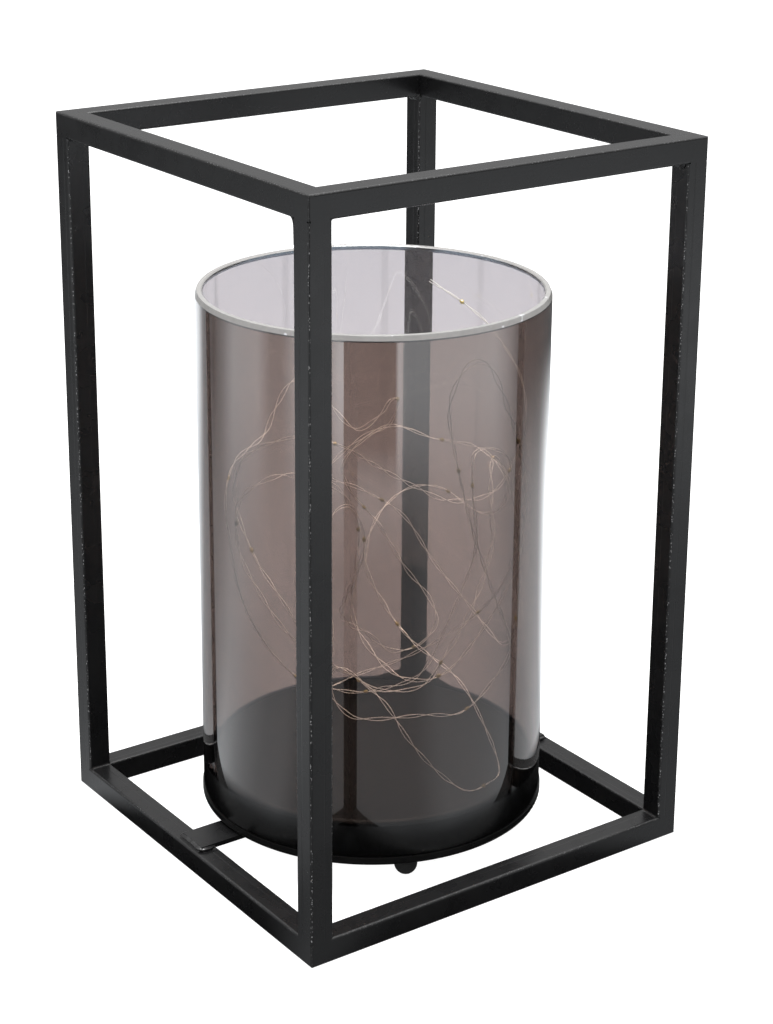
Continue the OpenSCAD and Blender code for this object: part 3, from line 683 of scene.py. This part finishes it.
def alongWire(model, name):
    # one copy of the model at each bead, its Z along the wire, all in one piece
    rng = random.Random(bead["seed"])
    copies = []
    for place, ahead in beadSpots:
        data = model.data.copy()
        turn = ahead.to_track_quat('Z', 'Y').to_matrix().to_4x4()
        spin = Matrix.Rotation(rng.uniform(0, 2 * math.pi), 4, 'Z')
        size = Matrix.Scale(rng.uniform(*bead["sizes"]), 4)
        data.transform(Matrix.Translation(place * mm) @ turn @ spin @ size)
        copy = bpy.data.objects.new(name, data)
        bpy.context.collection.objects.link(copy)
        copies.append(copy)
    bpy.data.objects.remove(model)
    select(*copies)
    bpy.ops.object.join()
    return bpy.context.object


resin = plainFinish("bead resin", *bead["resin"], bead["resinSockets"])
phosphor = plainFinish("phosphor", *bead["phosphor"])
settle(alongWire(resinDrop(), "resin_beads"), "resin_beads", "lantern", "bead_resin", resin, "light_beads")
settle(alongWire(lightChip(), "light_chips"), "light_chips", "lantern", None, phosphor)


glass = {
    "outer": 72,
    "wall": 3,
    "foot": 15.5,           # height of its lower end
    "height": 218,
    "footEdge": 0.6,
    "footShadeTop": 14,          # this much of the foot takes the near-black film line as painted shade, for the cover standing close behind it
    "rimDrop": 2.0,         # the rim's outer chamfer reaches this far down
    "rimIn": 0.7,           # and this far in
    "rimInside": 0.5,
    "round": 0.12,
    "filmEdge": 0.6,        # the film's thick first line below the chamfer
    "sides": 256,
    "closeEnough": 0.001,   # points this near to each other are merged
    "smoothTo": 12,         # degrees
    "ior": 1.5,
    "drawnUp": (1, 1, 0.3),     # scale that draws the patterns out up the wall
    "clear": ((0.97, 0.975, 0.98), (0.95, 0.955, 0.96)),
    "clearScale": 30,
    "clearRipples": 14,
    "film": (0.089, 0.05, 0.0355),
    # near black: the film's thick edge under the rim, and painted shade on the foot
    "filmLineAndFootShade": (0.004, 0.003, 0.003),
    "lineRoughness": 0.2,
    "filmScale": 24,
    "filmShade": 0.92,
    "filmRipples": 12,
    "rippleDepth": 0.03 * mm,
    "rippleStrength": 0.08,
    "slantBlend": 0.5,
    "slant": (0.2, 0.5),
    "slantShade": 0.3,
    "mirror": 1.6,          # ior of the film's own mirroring
    "rimColours": ((0.15, 0.147, 0.143), (0.2, 0.195, 0.19)),
    "rimRoughness": (0.18, 0.26),
    "rimClear": 0.15,
    "grindScale": 500,
    "grindDepth": 0.003 * mm,
    "chipColour": (0.4, 0.4, 0.42),
    "chipScale": 260,
    "chips": (0.7, 0.78),
    "chipDepth": 0.05 * mm,
    "rimStrength": 0.4,
}


def clearGlass():
    # the glass itself is clear: its inner wall and its underside show it
    material, tree, shader = newMaterial("clear glass")
    vector = places(tree, glass["drawnUp"])
    tints = blendColours(tree, noise(tree, vector, glass["clearScale"], detail=2), *glass["clear"])
    tree.links.new(tints, shader.inputs["Base Color"])
    shader.inputs["Transmission Weight"].default_value = 1
    shader.inputs["IOR"].default_value = glass["ior"]
    shader.inputs["Roughness"].default_value = 0
    ripples = noise(tree, vector, glass["clearRipples"], detail=1)
    bump(tree, shader, [(ripples, glass["rippleDepth"], glass["rippleStrength"])])
    return material


def smokeFilm(name, colour, roughness):
    # the smoke colour is a metal film on the outer face: it mirrors more than bare glass does,
    # and it is darker to the sides, where light crosses it at a slant
    material, tree, shader = newMaterial(name)
    vector = places(tree, glass["drawnUp"])
    clouds = noise(tree, vector, glass["filmScale"], detail=3)
    tint = blendColours(tree, clouds, colour, tuple(glass["filmShade"] * part for part in colour))
    slant = addNode(tree, "LayerWeight", {"Blend": glass["slantBlend"]})
    share = spread(tree, slant.outputs["Facing"], 0, 1, *glass["slant"], 'SMOOTHSTEP')
    tint = blendColours(tree, share, tint, tuple(glass["slantShade"] * part for part in colour))
    tree.links.new(tint, shader.inputs["Base Color"])
    shader.inputs["Transmission Weight"].default_value = 1
    shader.inputs["IOR"].default_value = glass["ior"]
    shader.inputs["Roughness"].default_value = roughness
    shader.inputs["Coat Weight"].default_value = 1
    shader.inputs["Coat IOR"].default_value = glass["mirror"]
    shader.inputs["Coat Roughness"].default_value = roughness
    ripples = noise(tree, vector, glass["filmRipples"], detail=1)
    bump(tree, shader, [(ripples, glass["rippleDepth"], glass["rippleStrength"])])
    return material


def groundEdge():
    # the cut rim is ground and polished: grey, a little frosted, with a few tiny chips
    material, tree, shader = newMaterial("ground edge")
    vector = places(tree)
    grind = noise(tree, vector, glass["grindScale"], detail=3)
    chips = spread(tree, noise(tree, vector, glass["chipScale"], detail=1), 0, 1, *glass["chips"])
    pale = blendColours(tree, grind, *glass["rimColours"])
    tree.links.new(blendColours(tree, chips, pale, glass["chipColour"]), shader.inputs["Base Color"])
    tree.links.new(spread(tree, grind, *glass["rimRoughness"]), shader.inputs["Roughness"])
    shader.inputs["Transmission Weight"].default_value = glass["rimClear"]
    shader.inputs["IOR"].default_value = glass["ior"]
    bump(tree, shader, [
        (grind, glass["grindDepth"], glass["rimStrength"]),
        (chips, glass["chipDepth"], glass["rimStrength"]),
    ])
    return material


def wallOutline():
    # radius and height, counter-clockwise from the inside of the foot, and the finish of each stretch
    inner = glass["outer"] - glass["wall"]
    outer = glass["outer"]
    low = glass["foot"]
    top = low + glass["height"]
    foot = glass["footEdge"]
    small = glass["round"]
    shoulder = top - glass["rimDrop"]
    footShadeTop = low + glass["footShadeTop"]
    return [
        # the near-black line finish on the foot is painted shade for the cover behind it; under the rim it
        # is the film's thick edge
        ((inner, footShadeTop), "line"),
        ((inner, low + foot), "line"),
        ((inner + foot, low), "clear"),
        ((outer - foot, low), "line"),
        ((outer, low + foot), "line"),
        ((outer, footShadeTop), "film"),
        ((outer, shoulder - glass["filmEdge"]), "line"),
        ((outer, shoulder), "rim"),
        ((outer - glass["rimIn"], top - small), "rim"),
        ((outer - glass["rimIn"] - small, top), "rim"),
        ((inner + glass["rimInside"], top), "rim"),
        ((inner, top - glass["rimInside"]), "clear"),
    ]


def makeGlass():
    # the wall's outline is drawn at one side and spun round the axis
    bpy.ops.object.select_all(action='DESELECT')
    outline = [place for place, _ in wallOutline()]
    bpy.ops.mesh.primitive_circle_add(vertices=len(outline), radius=mm)
    piece = bpy.context.object
    for vertex, (radius, height) in zip(piece.data.vertices, outline):
        vertex.co = (radius * mm, 0, height * mm)
    bpy.ops.object.mode_set(mode='EDIT')
    bpy.ops.mesh.select_all(action='SELECT')
    bpy.ops.mesh.spin(steps=glass["sides"], angle=2 * math.pi, center=(0, 0, 0), axis=(0, 0, 1))
    bpy.ops.mesh.select_all(action='SELECT')
    bpy.ops.mesh.remove_doubles(threshold=glass["closeEnough"] * mm)
    bpy.ops.mesh.normals_make_consistent(inside=False)
    bpy.ops.object.mode_set(mode='OBJECT')
    bpy.ops.object.shade_smooth_by_angle(angle=math.radians(glass["smoothTo"]))
    return piece


def layFilm(piece):
    # each stretch of the outline takes its own finish
    finishes = {"clear": 0, "film": 1, "line": 2, "rim": 3}
    piece.data.materials.append(smokeFilm("smoke film", glass["film"], 0))
    # near black: the film's thick edge under the rim, and painted shade on the foot
    piece.data.materials.append(smokeFilm("film line and foot shade", glass["filmLineAndFootShade"], glass["lineRoughness"]))
    piece.data.materials.append(groundEdge())
    outline = wallOutline()
    for face in piece.data.polygons:
        radius = face.center.xy.length / mm
        height = face.center.z / mm
        nearest = None
        for i, ((r0, z0), finish) in enumerate(outline):
            r1, z1 = outline[(i + 1) % len(outline)][0]
            away = math.hypot((r0 + r1) / 2 - radius, (z0 + z1) / 2 - height)
            if nearest is None or away < nearest[0]:
                nearest = (away, finishes[finish])
        face.material_index = nearest[1]


cylinder = makeGlass()
settle(cylinder, "smoked_cylinder", "glass", "smoked_glass", clearGlass(), "glass_cylinder")
layFilm(cylinder)


weld = {
    # half sizes of one puddle in each kind of run
    "end": (2.1, 2.8, 0.8),
    "lip": (3, 1.4, 0.8),
    "corner": (2.1, 2.2, 2.1),
    "segments": 24,
    "rings": 16,
    "uneven": 0.1,
    "voxel": 0.25,
    "smoothings": 8,
    "smoothTo": 40,         # degrees
    "sunk": 0.2,            # how far a run lies inside the faces that it joins
    "endPuddles": 6,
    "endLength": 1.7,       # times half the strip's width
    "endRaised": 1.1,       # from the strip's underside
    "shortPuddles": 2,      # in a lip's run and a corner's
    "lipLength": 0.3,       # shares of the tube's width
    "lipIn": 0.25,
    "lipRaised": 0.9,
    "cornerLength": 0.5,
    "gusset": (2.6, 10),    # the filled window corner, across and down
    "gussetSteps": 9,
    "gussetHollow": 2.2,
    "gussetEdge": 0.25,
    "gussetIn": 0.3,        # from each side of the tube
}


def puddles(middle, along, length, count, sizes, seed):
    # a run of overlapping puddles of weld metal, melted into one
    rng = random.Random(seed)
    drops = []
    for i in range(count):
        bpy.ops.object.select_all(action='DESELECT')
        bpy.ops.mesh.primitive_uv_sphere_add(segments=weld["segments"], ring_count=weld["rings"], radius=mm)
        drop = bpy.context.object
        drop.scale = [size * (1 + rng.uniform(-1, 1) * weld["uneven"]) for size in sizes]
        run = (i + 0.5) / count - 0.5
        wobble = Vector([rng.uniform(-1, 1) * weld["uneven"] for _ in range(3)])
        drop.location = (middle + along * run * length + wobble) * mm
        drops.append(drop)
    select(*drops)
    bpy.ops.object.join()
    bpy.ops.object.transform_apply(location=True, rotation=True, scale=True)
    run = bpy.context.object
    melt = run.modifiers.new("melt", 'REMESH')
    melt.mode = 'VOXEL'
    melt.voxel_size = weld["voxel"] * mm
    smooth = run.modifiers.new("smooth", 'SMOOTH')
    smooth.iterations = weld["smoothings"]
    for modifier in ("melt", "smooth"):
        bpy.ops.object.modifier_apply(modifier=modifier)
    return run


def gusset(corner, across, drop, width):
    # a corner filled with weld and ground hollow: its outline is extruded along X
    steps = weld["gussetSteps"]
    hollow = weld["gussetHollow"]
    bpy.ops.object.select_all(action='DESELECT')
    bpy.ops.mesh.primitive_circle_add(vertices=steps + 2, radius=mm, fill_type='NGON')
    piece = bpy.context.object
    outline = [(0, 0)]
    for i in range(steps + 1):
        t = i / steps
        outline.append((across * (1 - t) ** hollow, -drop * t ** hollow))
    for vertex, (away, down) in zip(piece.data.vertices, outline):
        vertex.co = (corner + Vector((0, away, down))) * mm
    bpy.ops.object.mode_set(mode='EDIT')
    bpy.ops.mesh.select_all(action='SELECT')
    bpy.ops.mesh.extrude_region_move(TRANSFORM_OT_translate={"value": (width * mm, 0, 0)})
    bpy.ops.mesh.select_all(action='SELECT')
    bpy.ops.mesh.normals_make_consistent(inside=False)
    bpy.ops.mesh.bevel(offset=weld["gussetEdge"] * mm, segments=2)
    bpy.ops.object.mode_set(mode='OBJECT')
    return piece


def makeWelds():
    low, high = (Vector(corner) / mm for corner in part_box("post_front_left"))
    stripLow, stripHigh = (Vector(corner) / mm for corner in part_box("cross_strip"))
    side = high.x - low.x
    sunk = weld["sunk"]
    x = Vector((1, 0, 0))
    y = Vector((0, 1, 0))
    runs = []
    # where the strip ends on the rails: one run across its end, a short one at each side
    for end in (-1, 1):
        edge = Vector((end * (stripHigh.x - sunk), 0, stripLow.z + weld["endRaised"]))
        runs.append(puddles(edge, y, stripHigh.y * weld["endLength"], weld["endPuddles"], weld["end"],
                            len(runs)))
        for hand in (-1, 1):
            corner = Vector((end * (stripHigh.x - side * weld["lipIn"]), hand * stripHigh.y,
                             stripLow.z + weld["lipRaised"]))
            runs.append(puddles(corner, x, side * weld["lipLength"], weld["shortPuddles"], weld["lip"],
                                len(runs)))
    # the window corners that were welded from the side the picture shows
    inFront = Vector((low.x + sunk, high.y - sunk, high.z + sunk))
    runs.append(gusset(inFront, *weld["gusset"], side - 2 * weld["gussetIn"]))
    for across in (low.y + side / 2, -high.y + side / 3):
        corner = Vector((sunk - high.x, across, high.z - sunk))
        runs.append(puddles(corner, y, side * weld["cornerLength"], weld["shortPuddles"], weld["corner"],
                            len(runs)))
    select(*runs)
    bpy.ops.object.join()
    bpy.ops.object.shade_smooth_by_angle(angle=math.radians(weld["smoothTo"]))
    return bpy.context.object


settle(makeWelds(), "weld_puddles", "lantern", "frame_paint", powderCoat(None))


def dress(material, *nodes):
    for node in nodes:
        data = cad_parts[node].data
        if data.materials:
            for index in range(len(data.materials)):
                data.materials[index] = material
        else:
            data.materials.append(material)


coats = [powderCoat(along) for along in (0, 1, 2)]
dress(coats[0], "top_rail_front", "top_rail_back", "bottom_rail_front", "bottom_rail_back", "cross_strip")
dress(coats[1], "top_rail_left", "top_rail_right", "bottom_rail_left", "bottom_rail_right")
dress(coats[2], "post_front_left", "post_front_right", "post_back_left", "post_back_right")
dress(powderCoat(None), "corner_welds")


cell = {
    # where each band starts, as a share of the length, and its colour
    "bands": [(0, (0.55, 0.54, 0.5)), (0.02, (0.05, 0.05, 0.052)), (0.68, (0.5, 0.24, 0.07)),
              (0.955, (0.6, 0.59, 0.55))],
    "sleeve": (0.455, 0.46),        # from here on, away from the middle, the steel is bare
    "sleeveThick": 0.1 * mm,
    "sleeveStrength": 0.5,
    "scuffScale": 260,
    "scuffs": (0.55, 0.75),
    "scuffShare": 0.35,
    "scuffColour": (0.3, 0.28, 0.26),
    "scuffDepth": 0.01 * mm,
    "scuffStrength": 0.3,
    "roughness": (0.25, 0.42),
}


def bandedCell(name, turned):
    # a printed sleeve in two colours, with bare metal at both ends
    material, tree, shader = newMaterial(name)
    low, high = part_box(name)
    vector = places(tree)
    split = addNode(tree, "SeparateXYZ")
    tree.links.new(vector, split.inputs["Vector"])
    run = spread(tree, split.outputs["X"], *((1, 0) if turned else (0, 1)), low[0], high[0])
    scuffs = noise(tree, vector, cell["scuffScale"], detail=4)
    ramp = addNode(tree, "ValToRGB")
    ramp.color_ramp.interpolation = 'CONSTANT'
    elements = ramp.color_ramp.elements
    while len(elements) < len(cell["bands"]):
        elements.new(1)
    for element, (start, colour) in zip(elements, cell["bands"]):
        element.position = start
        element.color = (*colour, 1)
    tree.links.new(run, ramp.inputs["Fac"])
    markShare = spread(tree, scuffs, 0, cell["scuffShare"], *cell["scuffs"])
    tree.links.new(blendColours(tree, markShare, ramp.outputs["Color"], cell["scuffColour"]),
                   shader.inputs["Base Color"])
    middle = maths(tree, 'ABSOLUTE', maths(tree, 'SUBTRACT', run, 0.5))
    metal = spread(tree, middle, 0, 1, *cell["sleeve"])
    tree.links.new(metal, shader.inputs["Metallic"])
    tree.links.new(spread(tree, scuffs, *cell["roughness"]), shader.inputs["Roughness"])
    bump(tree, shader, [
        (scuffs, cell["scuffDepth"], cell["scuffStrength"]),
        (metal, -cell["sleeveThick"], cell["sleeveStrength"]),
    ])
    return material


board = {
    "mask": (0.01, 0.07, 0.03),
    "maskPale": (0.015, 0.1, 0.045),
    "maskScale": 300,
    "track": (0.03, 0.15, 0.06),
    "tracks": {"Scale": 260, "Mortar Size": 0.03, "Bias": 0.2},
    "trackDepth": 0.04 * mm,
    "trackStrength": 0.8,
    "roughness": (0.2, 0.36),
    "roughnessScale": 500,
    "weaveScale": 2500,
    "weaveDepth": 0.006 * mm,
    "weaveStrength": 0.6,
}


def boardFinish():
    # green solder mask over copper tracks, with the weave just felt through it
    material, tree, shader = newMaterial("board green")
    vector = places(tree)
    bricks = addNode(tree, "TexBrick", board["tracks"])
    tree.links.new(vector, bricks.inputs["Vector"])
    raised = bricks.outputs["Fac"]
    mask = blendColours(tree, noise(tree, vector, board["maskScale"]), board["mask"], board["maskPale"])
    tree.links.new(blendColours(tree, raised, mask, board["track"]), shader.inputs["Base Color"])
    wander = noise(tree, vector, board["roughnessScale"], detail=2)
    tree.links.new(spread(tree, wander, *board["roughness"]), shader.inputs["Roughness"])
    weave = noise(tree, vector, board["weaveScale"], detail=1)
    bump(tree, shader, [
        (raised, board["trackDepth"], board["trackStrength"]),
        (weave, board["weaveDepth"], board["weaveStrength"]),
    ])
    return material


dress(bandedCell("battery_cell_1", turned=False), "battery_cell_1")
dress(bandedCell("battery_cell_2", turned=True), "battery_cell_2")
dress(boardFinish(), "circuit_board")

# name, two colours, roughness, scale of the patches, depth of the grain in mm, nodes, other sockets
plain = [
    ("base plastic", (0.003, 0.003, 0.003), (0.005, 0.005, 0.005), (0.25, 0.35), 60, 0.01,
     ["base_pan"], {"IOR": 1.4}),
    ("floor plastic", (0.003, 0.003, 0.003), (0.005, 0.005, 0.005), (0.5, 0.6), 60, 0.01,
     ["base_cover"], {"IOR": 1.3}),
    ("door plastic", (0.007, 0.007, 0.008), (0.011, 0.011, 0.012), (0.35, 0.45), 60, 0.015,
     ["battery_door"], {}),
    ("foot rubber", (0.01, 0.01, 0.01), (0.02, 0.02, 0.02), (0.55, 0.7), 150, 0.03,
     ["base_feet"], {}),
    ("bush rubber", (0.01, 0.01, 0.01), (0.018, 0.018, 0.018), (0.5, 0.65), 300, 0.02,
     ["wire_gland"], {}),
    ("zinc steel", (0.52, 0.52, 0.5), (0.62, 0.61, 0.58), (0.25, 0.42), 500, 0.006,
     ["strip_screw", "case_screws", "board_screws"], {"Metallic": 1}),
    ("nickel", (0.55, 0.53, 0.48), (0.66, 0.64, 0.58), (0.2, 0.34), 700, 0.004,
     ["contact_plates", "contact_springs"], {"Metallic": 1}),
    ("chip black", (0.012, 0.012, 0.013), (0.02, 0.02, 0.02), (0.4, 0.55), 800, 0.01,
     ["board_parts"], {}),
    ("switch shell", (0.5, 0.5, 0.48), (0.6, 0.6, 0.57), (0.3, 0.4), 600, 0.005,
     ["switch_body"], {"Metallic": 1}),
    ("knob plastic", (0.012, 0.012, 0.013), (0.02, 0.02, 0.022), (0.35, 0.45), 400, 0.01,
     ["switch_knob"], {}),
    ("lead sleeve", (0.3, 0.015, 0.012), (0.36, 0.025, 0.02), (0.35, 0.45), 400, 0.005,
     ["battery_leads"], {}),
]
for name, first, second, roughness, scale, depth, nodes, sockets in plain:
    dress(plainFinish(name, first, second, roughness, scale, depth * mm, sockets), *nodes)
print("finishes on")
